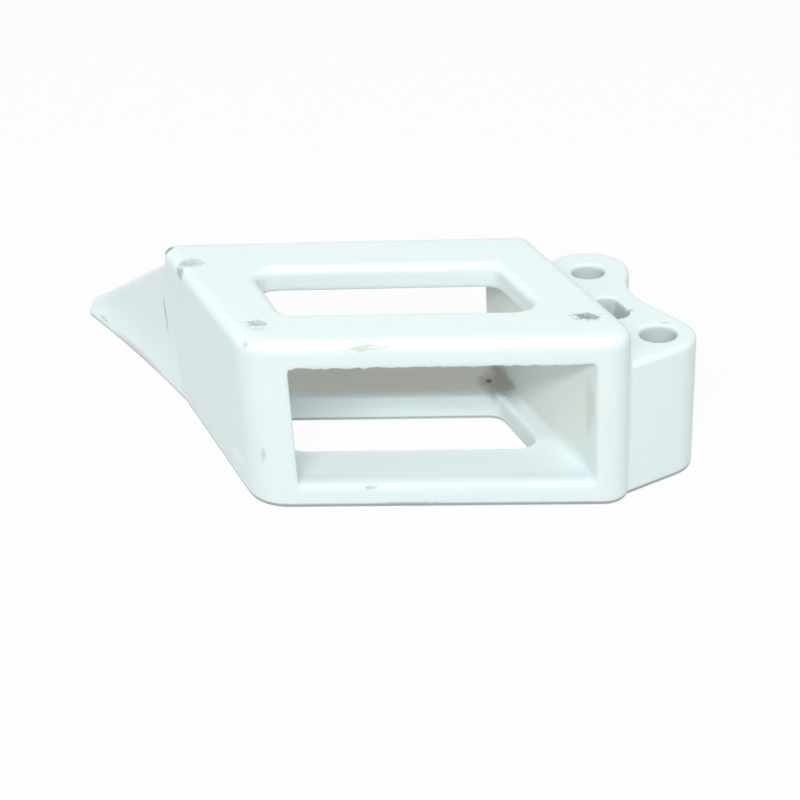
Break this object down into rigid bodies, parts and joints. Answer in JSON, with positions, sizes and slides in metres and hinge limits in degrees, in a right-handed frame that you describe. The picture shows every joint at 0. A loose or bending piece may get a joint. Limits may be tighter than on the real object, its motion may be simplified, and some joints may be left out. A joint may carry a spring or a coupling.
{
  "type": "motorcycle chain guide",
  "caption": "Moulded nylon chain guide: a slanted box sleeve with a through slot and windows, a flared tongue at one end and a waisted boss with bolt holes at the other.",
  "frame": {"origin": "axis of the front bolt hole at the base plane", "axes": "+Z across the chain along the bolt holes, +X along the flat front mouth towards the mounting boss, +Y from the front mouth to the back mouth"},
  "size_m": [0.1285, 0.0799, 0.034],
  "materials": {
    "nylon": "satin"
  },
  "bodies": {
    "root": {"chain_guide": "nylon"}
  },
  "joints": []
}
